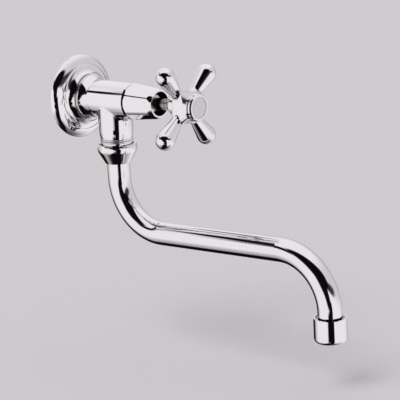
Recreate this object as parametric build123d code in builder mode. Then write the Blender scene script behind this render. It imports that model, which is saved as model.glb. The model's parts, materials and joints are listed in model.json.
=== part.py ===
from build123d import *
from math import acos, atan2, cos, radians, sin, sqrt, tan
import os

# Wall-mounted sink faucet, in millimetres. The inlet axis runs along Y with the wall at Y = 0
# and the room at negative Y. "Out" is a distance from the wall into the room, "drop" is a
# distance below the inlet axis.

# Fits
running_clearance = 0.08  # radial, a shaft in its bore across a joint
seated_clearance = 0.05  # radial, pieces of one assembly that stay put
sliding_clearance = 0.12  # each flat of the square valve carrier in its guide
end_play = 0.15  # axial, faces that turn against each other
open_clearance = 0.4  # radial, a moving piece that passes through a plain hole

# Inlet and wall flange
inlet_thread_diameter = 20.955  # G 1/2
inlet_thread_length = 20.0
inlet_thread_inside_flange = 2.0
shank_diameter = 21.4
inlet_bore_diameter = 11.0
flange_diameter = 65.0
flange_lip = 1.0
flange_rim_radius = 3.6
flange_rim_angle = 43.0
flange_wall = 1.2
flange_shoulder_width = 6.85
flange_crease_out = 6.5
flange_crease_step = 0.5
flange_neck_diameter = 37.2
flange_neck_ring = 0.6
flange_sweep_radius = 8.0
flange_depth = 11.8

# Valve body
barrel_diameter = 28.3
collar_diameter = 34.0
bead_height = 0.9
bead_width = 2.0
flare_length = 7.1
edge_chamfer = 0.8
neck_out = 36.8
neck_to_front = 21.1
neck_inset = 0.7
neck_waist_depth = 1.0
neck_waist_length = 8.5
neck_bore_diameter = 15.0
neck_blend_radius = 3.5
neck_length = 34.9
neck_ring_width = 1.6
neck_ring_height = 0.6
neck_ring_to_nut = 1.6
neck_thread_diameter = 26.44  # G 3/4
neck_thread_relief = 0.9
neck_thread_length = 6.0
seat_margin = 4.0
seat_lip_height = 2.5
seat_lip_width = 1.5

# Headwork: the valve core that the spindle turns in
headwork_thread_diameter = 19.0
headwork_thread_length = 8.5
gasket_thickness = 1.0
gasket_width = 1.8
housing_flange_diameter = 22.8
housing_flange_thickness = 3.0
shroud_thread_length = 10.0
nose_diameter = 14.8
nose_length = 7.0
carrier_width = 11.4
spindle_diameter = 9.0
spindle_bearing_length = 13.0
spindle_collar_diameter = 11.0
spindle_collar_thickness = 3.0
spindle_thread_diameter = 7.2
spindle_thread_engagement = 8.0
thrust_washer_thickness = 0.8
stem_ring_section = 1.5
stem_ring_pitch = 4.0
stem_ring_from_nose = 3.0
groove_extra_width = 0.5
circlip_thickness = 1.0
circlip_width = 2.6
circlip_groove_depth = 0.6
circlip_opening = 4.0
spline_teeth = 20
spline_depth = 0.45

# Valve carrier, washer and screw
thread_pitch = 2.5
opening_turns = 1.875
lift_margin = 0.8
washer_diameter = 14.4
washer_thickness = 4.0
carrier_head_diameter = 14.8
carrier_head_thickness = 2.5
carrier_rim = 1.2
washer_screw_diameter = 4.0
washer_screw_length = 8.0
washer_screw_head_diameter = 6.6
washer_screw_head_height = 2.2
screw_slot_width = 1.0
screw_slot_depth = 0.9

# Tapered hexagon shroud
shroud_length = 26.8
hex_rear_flats = 26.2
hex_front_flats = 21.1
hex_corner_radius = 4.5
hex_rear_chamfer_width = 3.6
hex_front_chamfer_width = 5.8
hex_front_chamfer_depth = 2.2
shroud_mouth_diameter = 18.7
shroud_recess_diameter = 17.2
shroud_counterbore_gap = 0.4

# Cross handle
handle_gap = 13.5
hub_rear_diameter = 14.2
hub_behind_arms = 3.85
hub_flats = 23.6
hub_flats_length = 7.7
hub_edge_radius = 0.8
hub_blend_radius = 1.5
hub_front_diameter = 21.0
hub_front_ring = 2.0
hub_ring_chamfer = 0.6
spline_socket_depth = 15.3
hub_web = 2.0
cap_recess_diameter = 11.8
cap_recess_depth = 5.3
arm_count = 4
arm_first_angle = 39.75
arm_from_hub_rear = 12.45
arm_root_at = 8.0
arm_root_diameter = 6.0
bulb_at = 33.0
bulb_diameter = 14.6
handle_screw_diameter = 4.0
handle_screw_length = 12.0
handle_screw_head_diameter = 7.6
handle_screw_head_height = 2.4
spindle_end_gap = 0.5

# Index cap
cap_diameter = 20.9
cap_groove = 0.5
cap_thickness = 2.5
cap_bevel = 0.9
cap_skirt_length = 2.6
cap_skirt_wall = 1.4
index_disc_diameter = 16.2
index_disc_thickness = 1.0
index_disc_dome = 0.35

# Swivel spout
tube_diameter = 18.0
tube_wall = 1.2
bend_radius = 41.0
spout_reach = 200.0
run_rise_angle = 1.6
straight_below_nut = 11.5
straight_above_outlet = 8.9
sleeve_diameter = 20.8
sleeve_socket_depth = 16.0
sleeve_top_gap = 0.5
sleeve_collar_diameter = 22.0
sleeve_collar_thickness = 3.0
sleeve_tube_socket = 7.0
sleeve_ring_section = 1.8
sleeve_ring_pitch = 5.0
sleeve_ring_from_top = 3.0
glide_ring_thickness = 1.5
glide_ring_width = 1.3

# Union nut
nut_wall = 2.43  # over the neck's thread
nut_crown = 2.6
nut_crown_inset = 0.7
nut_straight = 5.0
nut_corner_radius = 6.0
nut_lip = 4.2
nut_foot_diameter = 20.2

# Aerator
aerator_diameter = 24.4
aerator_height = 18.4
aerator_foot_radius = 3.2
aerator_mouth_diameter = 17.0
nipple_thread_diameter = 22.0  # M22 x 1
nipple_length = 4.1
nipple_below_rim = 2.5
nipple_lip = 1.0
aerator_gasket_thickness = 1.3
insert_flange_thickness = 1.5
insert_diameter = 19.4
insert_wall = 1.0
insert_lip = 0.7
insert_jet_diameter = 1.3
insert_jet_circle = 11.0
insert_jets = 12
screen_thickness = 0.4
screen_spacing = 1.2
screen_hole = 1.5
screen_hole_pitch = 2.3
mouth_lip = 1.2

# Radii
inlet_thread_radius = inlet_thread_diameter / 2
flange_radius = flange_diameter / 2
crease_radius = flange_radius - flange_shoulder_width
flange_neck_radius = flange_neck_diameter / 2
shank_radius = shank_diameter / 2
flange_hole_radius = shank_radius + seated_clearance
barrel_radius = barrel_diameter / 2
collar_radius = collar_diameter / 2
neck_radius = barrel_radius - neck_inset
neck_thread_radius = neck_thread_diameter / 2
headwork_thread_radius = headwork_thread_diameter / 2
core_radius = headwork_thread_radius - seated_clearance
spindle_radius = spindle_diameter / 2
stem_bore_radius = spindle_radius + running_clearance
spindle_thread_radius = spindle_thread_diameter / 2
tube_radius = tube_diameter / 2
tube_bore_radius = tube_radius - tube_wall
sleeve_radius = sleeve_diameter / 2
socket_radius = sleeve_radius + running_clearance
sleeve_collar_radius = sleeve_collar_diameter / 2
nut_radius = neck_thread_radius + nut_wall
aerator_radius = aerator_diameter / 2
nipple_thread_radius = nipple_thread_diameter / 2

# Places along the inlet axis, as distances out from the wall
body_back = -inlet_thread_length
flare_end = flange_depth + bead_width + flare_length
seat_out = neck_out - neck_bore_diameter / 2 - seat_margin
chamber_floor = seat_out - seat_lip_height
body_end = neck_out + neck_to_front
core_back = body_end - headwork_thread_length
core_flange_back = body_end + gasket_thickness
core_flange_front = core_flange_back + housing_flange_thickness
core_barrel_front = core_flange_front + shroud_thread_length
nose_front = core_barrel_front + nose_length
shroud_front = body_end + shroud_length
spindle_shoulder = nose_front - spindle_bearing_length
spindle_collar_front = spindle_shoulder - thrust_washer_thickness - end_play
spindle_collar_back = spindle_collar_front - spindle_collar_thickness
valve_lift = thread_pitch * opening_turns
carrier_back = seat_out + washer_thickness
carrier_front = spindle_collar_back - valve_lift - lift_margin
spindle_tip = carrier_front - spindle_thread_engagement
carrier_bore_end = spindle_tip - valve_lift - lift_margin
circlip_back = nose_front + end_play
hub_rear = shroud_front + handle_gap
arm_out = hub_rear + arm_from_hub_rear
hub_web_back = hub_rear + spline_socket_depth
cap_recess_floor = hub_web_back + hub_web
hub_front = cap_recess_floor + cap_recess_depth
spindle_end = hub_web_back - spindle_end_gap
cap_back = hub_front + cap_groove
cap_front = cap_back + cap_thickness

# Heights on the neck axis, below the inlet axis
nut_top = -neck_length
neck_end = nut_top - neck_thread_length
sleeve_top = neck_end + sleeve_socket_depth - sleeve_top_gap
sleeve_collar_top = neck_end - end_play
sleeve_bottom = sleeve_collar_top - sleeve_collar_thickness
glide_ring_bottom = sleeve_bottom - glide_ring_thickness
nut_shoulder = glide_ring_bottom - end_play
nut_bottom = nut_shoulder - nut_lip
tube_top = sleeve_bottom + sleeve_tube_socket
bend_tangent = bend_radius * tan(radians(90 + run_rise_angle) / 2)
run_near_height = nut_bottom - straight_below_nut - bend_tangent
run_far_height = run_near_height + spout_reach * tan(radians(run_rise_angle))
tube_end = run_far_height - bend_tangent - straight_above_outlet
outlet_out = neck_out + spout_reach

# Heights in the aerator
nipple_bottom = tube_end - nipple_lip
nipple_top = nipple_bottom + nipple_length
aerator_top = nipple_top + nipple_below_rim
aerator_bottom = aerator_top - aerator_height
insert_top = nipple_bottom - aerator_gasket_thickness
insert_step = insert_top - insert_flange_thickness
insert_bottom = aerator_bottom + mouth_lip

# Section planes hold a radius and a distance out, or a radius and a height
inlet_section = Plane(origin=(0, 0, 0), x_dir=(1, 0, 0), z_dir=(0, 0, -1))
neck_section = Plane.XZ.offset(neck_out)
outlet_section = Plane.XZ.offset(outlet_out)
inlet_axis = Axis.Y
neck_axis = Axis((0, -neck_out, 0), (0, 0, 1))
outlet_axis = Axis((0, -outlet_out, 0), (0, 0, 1))


def across_inlet(out):
    return Plane.XZ.offset(out)


def level(out, height):
    return Plane(origin=(0, -out, height), x_dir=(1, 0, 0), z_dir=(0, 0, 1))


def finish(piece, name):
    piece.part.label = name
    export_step(piece.part, f"parts/{name}.step")


os.makedirs("parts", exist_ok=True)

# Wall flange: a pressed shell with a rounded rim, a domed shoulder, a crease and a sweep to its neck
rim_turn = radians(flange_rim_angle)
rim_centre = (flange_radius - flange_rim_radius, flange_lip)
rim_heading = (-sin(rim_turn), cos(rim_turn))
rim_inner_radius = flange_rim_radius - flange_wall
rim_end = (
    rim_centre[0] + flange_rim_radius * cos(rim_turn),
    rim_centre[1] + flange_rim_radius * sin(rim_turn),
)
rim_inner_end = (
    rim_centre[0] + rim_inner_radius * cos(rim_turn),
    rim_centre[1] + rim_inner_radius * sin(rim_turn),
)
shoulder_end = flange_crease_out + flange_crease_step
ring_start = flange_depth - flange_neck_ring
with BuildPart() as wall_flange:
    with BuildSketch(inlet_section):
        with BuildLine():
            Line((flange_radius, 0), (flange_radius, flange_lip))
            CenterArc(rim_centre, flange_rim_radius, 0, flange_rim_angle)
            TangentArc(rim_end, (crease_radius, shoulder_end), tangent=rim_heading)
            Line((crease_radius, shoulder_end), (crease_radius, flange_crease_out))
            RadiusArc(
                (crease_radius, flange_crease_out),
                (flange_neck_radius, ring_start),
                flange_sweep_radius,
            )
            Polyline(
                (flange_neck_radius, ring_start),
                (flange_neck_radius, flange_depth),
                (flange_hole_radius, flange_depth),
                (flange_hole_radius, flange_depth - flange_wall),
                (flange_neck_radius - flange_wall, flange_depth - flange_wall),
            )
            RadiusArc(
                (flange_neck_radius - flange_wall, flange_depth - flange_wall),
                (crease_radius, flange_crease_out - flange_wall),
                -flange_sweep_radius - flange_wall,
            )
            Line(
                (crease_radius, flange_crease_out - flange_wall),
                (crease_radius, shoulder_end - flange_wall),
            )
            TangentArc(rim_inner_end, (crease_radius, shoulder_end - flange_wall), tangent=rim_heading)
            CenterArc(rim_centre, rim_inner_radius, 0, flange_rim_angle)
            Polyline(
                (flange_radius - flange_wall, flange_lip),
                (flange_radius - flange_wall, 0),
                (flange_radius, 0),
            )
        make_face()
    revolve(axis=inlet_axis)
finish(wall_flange, "wall_flange")

# Valve body: inlet shank, collar with its bead, barrel, and the neck that the spout hangs from
bead_top = flange_depth + bead_width
neck_ring_bottom = nut_top + neck_ring_to_nut
neck_ring_middle = neck_ring_bottom + neck_ring_width
neck_ring_top = neck_ring_middle + neck_ring_width
neck_waist_top = neck_ring_top + neck_waist_length
neck_low_radius = neck_radius - neck_waist_depth
neck_ring_radius = neck_low_radius + neck_ring_height
neck_relief_radius = neck_thread_radius - neck_thread_relief
with BuildPart() as valve_body:
    with BuildSketch(inlet_section):
        with BuildLine():
            Polyline(
                (0, body_back),
                (inlet_thread_radius - edge_chamfer, body_back),
                (inlet_thread_radius, body_back + edge_chamfer),
                (inlet_thread_radius, inlet_thread_inside_flange),
                (shank_radius, inlet_thread_inside_flange),
                (shank_radius, flange_depth),
                (collar_radius, flange_depth),
            )
            ThreePointArc(
                (collar_radius, flange_depth),
                (collar_radius + bead_height, flange_depth + bead_width / 2),
                (collar_radius, bead_top),
            )
            TangentArc((barrel_radius, flare_end), (collar_radius, bead_top), tangent=(0, -1))
            Polyline(
                (barrel_radius, flare_end),
                (barrel_radius, body_end - edge_chamfer),
                (barrel_radius - edge_chamfer, body_end),
                (0, body_end),
                (0, body_back),
            )
        make_face()
    revolve(axis=inlet_axis)
    with BuildSketch(neck_section):
        with BuildLine():
            Polyline((0, 0), (neck_radius, 0), (neck_radius, neck_waist_top))
            TangentArc((neck_radius, neck_waist_top), (neck_low_radius, neck_ring_top), tangent=(0, -1))
            ThreePointArc(
                (neck_low_radius, neck_ring_top),
                (neck_ring_radius, (neck_ring_top + neck_ring_middle) / 2),
                (neck_low_radius, neck_ring_middle),
            )
            ThreePointArc(
                (neck_low_radius, neck_ring_middle),
                (neck_ring_radius, (neck_ring_middle + neck_ring_bottom) / 2),
                (neck_low_radius, neck_ring_bottom),
            )
            Polyline(
                (neck_low_radius, neck_ring_bottom),
                (neck_relief_radius, neck_ring_bottom),
                (neck_relief_radius, nut_top - edge_chamfer),
                (neck_thread_radius - seated_clearance, nut_top - edge_chamfer),
                (neck_thread_radius - seated_clearance, neck_end),
                (0, neck_end),
                (0, 0),
            )
        make_face()
    revolve(axis=neck_axis)
    fillet(valve_body.edges(Select.NEW), radius=neck_blend_radius)
    with BuildSketch(across_inlet(body_back)):
        Circle(inlet_bore_diameter / 2)
    extrude(amount=seat_out - body_back, mode=Mode.SUBTRACT)
    with BuildSketch(across_inlet(seat_out)):
        Circle(headwork_thread_radius)
    extrude(amount=body_end - seat_out, mode=Mode.SUBTRACT)
    with BuildSketch(across_inlet(chamber_floor)):
        Circle(headwork_thread_radius)
        Circle(inlet_bore_diameter / 2 + seat_lip_width, mode=Mode.SUBTRACT)
    extrude(amount=seat_lip_height, mode=Mode.SUBTRACT)
    with BuildSketch(level(neck_out, neck_end)):
        Circle(neck_bore_diameter / 2)
    extrude(amount=-neck_end, mode=Mode.SUBTRACT)
    with BuildSketch(level(neck_out, neck_end)):
        Circle(socket_radius)
    extrude(amount=sleeve_socket_depth, mode=Mode.SUBTRACT)
finish(valve_body, "valve_body")

# Fibre gasket between the body's front end and the headwork's flange
with BuildPart() as headwork_gasket:
    with BuildSketch(across_inlet(body_end)):
        Circle(headwork_thread_radius + gasket_width)
        Circle(headwork_thread_radius, mode=Mode.SUBTRACT)
    extrude(amount=gasket_thickness)
finish(headwork_gasket, "headwork_gasket")

# Headwork housing: threaded into the body, with a square guide behind and the stem bore in front
guide_width = carrier_width + 2 * sliding_clearance
with BuildPart() as headwork_housing:
    with BuildSketch(inlet_section):
        with BuildLine():
            Polyline(
                (0, core_back),
                (core_radius - edge_chamfer, core_back),
                (core_radius, core_back + edge_chamfer),
                (core_radius, core_flange_back),
                (housing_flange_diameter / 2, core_flange_back),
                (housing_flange_diameter / 2, core_flange_front),
                (core_radius, core_flange_front),
                (core_radius, core_barrel_front),
                (nose_diameter / 2, core_barrel_front),
                (nose_diameter / 2, nose_front - edge_chamfer),
                (nose_diameter / 2 - edge_chamfer, nose_front),
                (0, nose_front),
                close=True,
            )
        make_face()
    revolve(axis=inlet_axis)
    with BuildSketch(across_inlet(core_back)):
        Rectangle(guide_width, guide_width)
    extrude(amount=spindle_shoulder - core_back, mode=Mode.SUBTRACT)
    with BuildSketch(across_inlet(core_back)):
        Circle(stem_bore_radius)
    extrude(amount=nose_front - core_back, mode=Mode.SUBTRACT)
finish(headwork_housing, "headwork_housing")

# Slide ring between the spindle's collar and the shoulder inside the housing
with BuildPart() as thrust_washer:
    with BuildSketch(across_inlet(spindle_shoulder - thrust_washer_thickness)):
        Circle(spindle_collar_diameter / 2)
        Circle(stem_bore_radius, mode=Mode.SUBTRACT)
    extrude(amount=thrust_washer_thickness)
finish(thrust_washer, "thrust_washer")

# Shroud: a tapered hexagon with soft corners that are turned off to a cone at each end, hollow inside
hex_rear_radius = hex_rear_flats / sqrt(3)
hex_front_radius = hex_front_flats / sqrt(3)
hex_taper = hex_front_flats / hex_rear_flats
shroud_counterbore = housing_flange_diameter / 2 + shroud_counterbore_gap
shroud_thread_start = core_flange_front + shroud_counterbore_gap
with BuildPart() as bonnet_shroud:
    with BuildSketch(across_inlet(body_end)):
        RegularPolygon(hex_rear_radius, side_count=6, rotation=30)
        fillet(vertices(), hex_corner_radius)
    with BuildSketch(across_inlet(shroud_front)):
        RegularPolygon(hex_front_radius, side_count=6, rotation=30)
        fillet(vertices(), hex_corner_radius * hex_taper)
    loft(ruled=True)
    with BuildSketch(inlet_section):
        with BuildLine():
            Polyline(
                (0, body_end),
                (hex_rear_flats / 2, body_end),
                (hex_rear_radius, body_end + hex_rear_chamfer_width),
                (hex_rear_radius, shroud_front - hex_front_chamfer_width),
                (hex_front_flats / 2 + hex_front_chamfer_depth, shroud_front - hex_front_chamfer_width),
                (hex_front_flats / 2, shroud_front),
                (0, shroud_front),
                close=True,
            )
        make_face()
    revolve(axis=inlet_axis, mode=Mode.INTERSECT)
    with BuildSketch(inlet_section):
        with BuildLine():
            Polyline(
                (0, body_end),
                (shroud_counterbore, body_end),
                (shroud_counterbore, shroud_thread_start),
                (headwork_thread_radius, shroud_thread_start),
                (headwork_thread_radius, core_barrel_front),
                (shroud_recess_diameter / 2, core_barrel_front),
                (shroud_mouth_diameter / 2, shroud_front),
                (0, shroud_front),
                close=True,
            )
        make_face()
    revolve(axis=inlet_axis, mode=Mode.SUBTRACT)
finish(bonnet_shroud, "bonnet_shroud")

# Spindle: drive thread behind, collar, ringed stem, circlip groove and a splined end in the handle
stem_ring_places = [nose_front - stem_ring_from_nose - index * stem_ring_pitch for index in range(2)]
stem_groove_radius = spindle_radius - stem_ring_section - seated_clearance
stem_groove_width = stem_ring_section + groove_extra_width
circlip_groove_radius = spindle_radius - circlip_groove_depth
spline_start = hub_rear - handle_gap / 2
with BuildPart() as spindle:
    with BuildSketch(inlet_section):
        with BuildLine():
            Polyline(
                (0, spindle_tip),
                (spindle_thread_radius - edge_chamfer, spindle_tip),
                (spindle_thread_radius, spindle_tip + edge_chamfer),
                (spindle_thread_radius, spindle_collar_back),
                (spindle_collar_diameter / 2, spindle_collar_back),
                (spindle_collar_diameter / 2, spindle_collar_front),
                (spindle_radius, spindle_collar_front),
                (spindle_radius, spindle_end - edge_chamfer),
                (spindle_radius - edge_chamfer, spindle_end),
                (0, spindle_end),
                close=True,
            )
        make_face()
        for place in stem_ring_places:
            with Locations(((spindle_radius + stem_groove_radius) / 2, place)):
                Rectangle(spindle_radius - stem_groove_radius, stem_groove_width, mode=Mode.SUBTRACT)
        circlip_middle = circlip_back + circlip_thickness / 2
        with Locations(((spindle_radius + circlip_groove_radius) / 2, circlip_middle)):
            Rectangle(circlip_groove_depth, circlip_thickness + seated_clearance, mode=Mode.SUBTRACT)
    revolve(axis=inlet_axis)
    with BuildSketch(across_inlet(spline_start)):
        with PolarLocations(spindle_radius, spline_teeth):
            RegularPolygon(spline_depth, side_count=4)
    extrude(amount=spindle_end - spline_start, mode=Mode.SUBTRACT)
    with BuildSketch(across_inlet(spindle_end)):
        Circle(handle_screw_diameter / 2 + seated_clearance)
    extrude(amount=-handle_screw_length, mode=Mode.SUBTRACT)
finish(spindle, "spindle")

# Two rubber rings that seal the stem in the housing
with BuildPart() as spindle_o_rings:
    with BuildSketch(inlet_section):
        for place in stem_ring_places:
            with Locations((spindle_radius - stem_ring_section / 2, place)):
                Circle(stem_ring_section / 2)
    revolve(axis=inlet_axis)
finish(spindle_o_rings, "spindle_o_rings")

# Circlip that keeps the spindle from being pushed in
circlip_radius = circlip_groove_radius + seated_clearance
with BuildPart() as spindle_circlip:
    with BuildSketch(across_inlet(circlip_back)):
        Circle(circlip_radius + circlip_width)
        Circle(circlip_radius, mode=Mode.SUBTRACT)
        with Locations((0, -circlip_radius - circlip_width / 2)):
            Rectangle(circlip_opening, 2 * circlip_width, mode=Mode.SUBTRACT)
    extrude(amount=circlip_thickness)
finish(spindle_circlip, "spindle_circlip")

# Valve carrier: the square guide keeps it from turning, so the spindle's thread draws it out
washer_screw_radius = washer_screw_diameter / 2
with BuildPart() as valve_carrier:
    with BuildSketch(across_inlet(carrier_back)):
        Rectangle(carrier_width, carrier_width)
    extrude(amount=carrier_front - carrier_back)
    with BuildSketch(across_inlet(carrier_back - carrier_rim)):
        Circle(carrier_head_diameter / 2 + carrier_rim)
    extrude(amount=carrier_head_thickness + carrier_rim)
    with BuildSketch(across_inlet(carrier_back - carrier_rim)):
        Circle(carrier_head_diameter / 2)
    extrude(amount=carrier_rim, mode=Mode.SUBTRACT)
    with BuildSketch(across_inlet(carrier_front)):
        Circle(spindle_thread_radius + running_clearance)
    extrude(amount=carrier_bore_end - carrier_front, mode=Mode.SUBTRACT)
    with BuildSketch(across_inlet(carrier_back)):
        Circle(washer_screw_radius + seated_clearance)
    extrude(amount=washer_screw_length - washer_thickness, mode=Mode.SUBTRACT)
finish(valve_carrier, "valve_carrier")

# Rubber washer that closes on the seat
with BuildPart() as seat_washer:
    with BuildSketch(across_inlet(seat_out)):
        Circle(washer_diameter / 2)
        Circle(washer_screw_radius + seated_clearance, mode=Mode.SUBTRACT)
    extrude(amount=washer_thickness)
finish(seat_washer, "seat_washer")

# Slotted screw that holds the washer on its carrier
with BuildPart() as washer_screw:
    with BuildSketch(across_inlet(seat_out - washer_screw_head_height)):
        Circle(washer_screw_head_diameter / 2)
    extrude(amount=washer_screw_head_height)
    with BuildSketch(across_inlet(seat_out)):
        Circle(washer_screw_radius)
    extrude(amount=washer_screw_length)
    with BuildSketch(across_inlet(seat_out - washer_screw_head_height)):
        Rectangle(screw_slot_width, washer_screw_head_diameter)
    extrude(amount=screw_slot_depth, mode=Mode.SUBTRACT)
finish(washer_screw, "washer_screw")

# Cross handle: a square block with turned corners on a round boss, and four coned arms that end in
# round bulbs, one casting
bulb_radius = bulb_diameter / 2
arm_root_radius = arm_root_diameter / 2
root_to_bulb = sqrt((bulb_at - arm_root_at) ** 2 + arm_root_radius ** 2)
shoulder_angle = atan2(arm_root_radius, arm_root_at - bulb_at) - acos(bulb_radius / root_to_bulb)
bulb_shoulder = (bulb_at + bulb_radius * cos(shoulder_angle), bulb_radius * sin(shoulder_angle))
arm_angles = [arm_first_angle + index * 360 / arm_count for index in range(arm_count)]
block_back = arm_out - hub_behind_arms
block_corner = hub_flats / sqrt(2)
ring_back = hub_front - hub_front_ring
hub_front_radius = hub_front_diameter / 2
with BuildPart() as cross_handle:
    with BuildSketch(across_inlet(block_back)):
        Rectangle(hub_flats, hub_flats, rotation=arm_first_angle + 180 / arm_count)
    extrude(amount=ring_back - block_back)
    fillet(cross_handle.faces().sort_by(Axis.Y)[-1].edges(), radius=hub_edge_radius)
    with BuildSketch(inlet_section):
        with BuildLine():
            Polyline(
                (0, block_back),
                (block_corner, block_back),
                (block_corner, block_back + hub_flats_length),
                (hub_front_radius, ring_back),
                (0, ring_back),
                close=True,
            )
        make_face()
    revolve(axis=inlet_axis, mode=Mode.INTERSECT)
    for angle in arm_angles:
        arm_section = Plane(
            origin=(0, -arm_out, 0),
            x_dir=(cos(radians(angle)), 0, sin(radians(angle))),
            z_dir=(0, -1, 0),
        )
        with BuildSketch(arm_section):
            with BuildLine():
                Polyline(
                    (bulb_at + bulb_radius, 0),
                    (arm_root_at, 0),
                    (arm_root_at, arm_root_radius),
                    bulb_shoulder,
                )
                ThreePointArc(bulb_shoulder, (bulb_at, bulb_radius), (bulb_at + bulb_radius, 0))
            make_face()
        revolve(axis=Axis(arm_section.origin, arm_section.x_dir))
    with BuildSketch(inlet_section):
        with BuildLine():
            Polyline(
                (0, hub_rear),
                (hub_rear_diameter / 2 - edge_chamfer, hub_rear),
                (hub_rear_diameter / 2, hub_rear + edge_chamfer),
                (hub_rear_diameter / 2, ring_back - hub_front_ring),
                (hub_front_radius, ring_back - hub_front_ring),
                (hub_front_radius, hub_front - hub_ring_chamfer),
                (hub_front_radius - hub_ring_chamfer, hub_front),
                (0, hub_front),
                close=True,
            )
        make_face()
    revolve(axis=inlet_axis)
    boss_root = cross_handle.edges(Select.NEW).filter_by_position(Axis.Y, -arm_out, -hub_rear)
    fillet(boss_root, radius=hub_blend_radius)
    with BuildSketch(across_inlet(hub_rear)):
        Circle(spindle_radius + seated_clearance)
    extrude(amount=spline_socket_depth, mode=Mode.SUBTRACT)
    with BuildSketch(across_inlet(hub_web_back)):
        Circle(handle_screw_diameter / 2 + seated_clearance)
    extrude(amount=hub_web, mode=Mode.SUBTRACT)
    with BuildSketch(across_inlet(cap_recess_floor)):
        Circle(cap_recess_diameter / 2)
    extrude(amount=cap_recess_depth, mode=Mode.SUBTRACT)
finish(cross_handle, "cross_handle")

# Slotted screw that holds the handle on the spindle
with BuildPart() as handle_screw:
    with BuildSketch(across_inlet(cap_recess_floor)):
        Circle(handle_screw_head_diameter / 2)
    extrude(amount=handle_screw_head_height)
    with BuildSketch(across_inlet(cap_recess_floor)):
        Circle(handle_screw_diameter / 2)
    extrude(amount=-handle_screw_length)
    with BuildSketch(across_inlet(cap_recess_floor + handle_screw_head_height)):
        Rectangle(screw_slot_width, handle_screw_head_diameter)
    extrude(amount=-screw_slot_depth, mode=Mode.SUBTRACT)
finish(handle_screw, "handle_screw")

# Index cap: a bezel on a skirt that pushes into the hub, with a seat for the disc
skirt_radius = cap_recess_diameter / 2 - seated_clearance
disc_seat = cap_front - index_disc_thickness - index_disc_dome
with BuildPart() as index_cap:
    with BuildSketch(inlet_section):
        with BuildLine():
            Polyline(
                (skirt_radius - cap_skirt_wall, hub_front - cap_skirt_length),
                (skirt_radius, hub_front - cap_skirt_length),
                (skirt_radius, cap_back),
                (cap_diameter / 2, cap_back),
                (cap_diameter / 2, cap_front - cap_bevel),
                (cap_diameter / 2 - cap_bevel, cap_front),
                (index_disc_diameter / 2 + seated_clearance, cap_front),
                (index_disc_diameter / 2 + seated_clearance, disc_seat),
                (0, disc_seat),
                (0, cap_back),
                (skirt_radius - cap_skirt_wall, cap_back),
                close=True,
            )
        make_face()
    revolve(axis=inlet_axis)
finish(index_cap, "index_cap")

# Plain index disc, slightly domed, with no mark on it
disc_edge = disc_seat + index_disc_thickness
with BuildPart() as index_disc:
    with BuildSketch(inlet_section):
        with BuildLine():
            Polyline(
                (0, disc_edge + index_disc_dome),
                (0, disc_seat),
                (index_disc_diameter / 2, disc_seat),
                (index_disc_diameter / 2, disc_edge),
            )
            TangentArc(
                (0, disc_edge + index_disc_dome),
                (index_disc_diameter / 2, disc_edge),
                tangent=(1, 0),
            )
        make_face()
    revolve(axis=inlet_axis)
finish(index_disc, "index_disc")

# Union nut: round, coned down to the tube, holding the spout's collar under the neck
nut_cavity_radius = sleeve_collar_radius + open_clearance
nut_hole_radius = tube_radius + open_clearance
nut_cavity_top = neck_end - end_play
nut_widest = nut_top - nut_crown
nut_corner = nut_top - nut_straight
with BuildPart() as union_nut:
    with BuildSketch(neck_section):
        with BuildLine():
            TangentArc((nut_radius, nut_widest), (nut_radius - nut_crown_inset, nut_top), tangent=(0, 1))
            FilletPolyline(
                (nut_radius, nut_widest),
                (nut_radius, nut_corner),
                (nut_foot_diameter / 2, nut_bottom),
                radius=nut_corner_radius,
            )
            Polyline(
                (nut_foot_diameter / 2, nut_bottom),
                (nut_hole_radius, nut_bottom),
                (nut_hole_radius, nut_shoulder),
                (nut_cavity_radius, nut_shoulder),
                (nut_cavity_radius, nut_cavity_top),
                (neck_thread_radius, nut_cavity_top),
                (neck_thread_radius, nut_top),
                (nut_radius - nut_crown_inset, nut_top),
            )
        make_face()
    revolve(axis=neck_axis)
finish(union_nut, "union_nut")

# Spout sleeve: soldered on the tube's upper end, turning in the neck on two rings
sleeve_ring_places = [sleeve_top - sleeve_ring_from_top - index * sleeve_ring_pitch for index in range(2)]
sleeve_groove_radius = sleeve_radius - sleeve_ring_section - seated_clearance
sleeve_groove_width = sleeve_ring_section + groove_extra_width
with BuildPart() as spout_sleeve:
    with BuildSketch(neck_section):
        with BuildLine():
            Polyline(
                (tube_bore_radius, sleeve_top),
                (sleeve_radius - edge_chamfer, sleeve_top),
                (sleeve_radius, sleeve_top - edge_chamfer),
                (sleeve_radius, sleeve_collar_top),
                (sleeve_collar_radius, sleeve_collar_top),
                (sleeve_collar_radius, sleeve_bottom),
                (tube_radius + seated_clearance, sleeve_bottom),
                (tube_radius + seated_clearance, tube_top),
                (tube_bore_radius, tube_top),
                close=True,
            )
        make_face()
        for place in sleeve_ring_places:
            with Locations(((sleeve_radius + sleeve_groove_radius) / 2, place)):
                Rectangle(sleeve_radius - sleeve_groove_radius, sleeve_groove_width, mode=Mode.SUBTRACT)
    revolve(axis=neck_axis)
finish(spout_sleeve, "spout_sleeve")

# Two rubber rings that seal the sleeve in the neck
with BuildPart() as spout_o_rings:
    with BuildSketch(neck_section):
        for place in sleeve_ring_places:
            with Locations((sleeve_radius - sleeve_ring_section / 2, place)):
                Circle(sleeve_ring_section / 2)
    revolve(axis=neck_axis)
finish(spout_o_rings, "spout_o_rings")

# Glide ring that the sleeve's collar turns on inside the nut
with BuildPart() as spout_glide_ring:
    with BuildSketch(level(neck_out, glide_ring_bottom)):
        Circle(sleeve_collar_radius)
        Circle(sleeve_collar_radius - glide_ring_width, mode=Mode.SUBTRACT)
    extrude(amount=glide_ring_thickness)
finish(spout_glide_ring, "spout_glide_ring")

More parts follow.
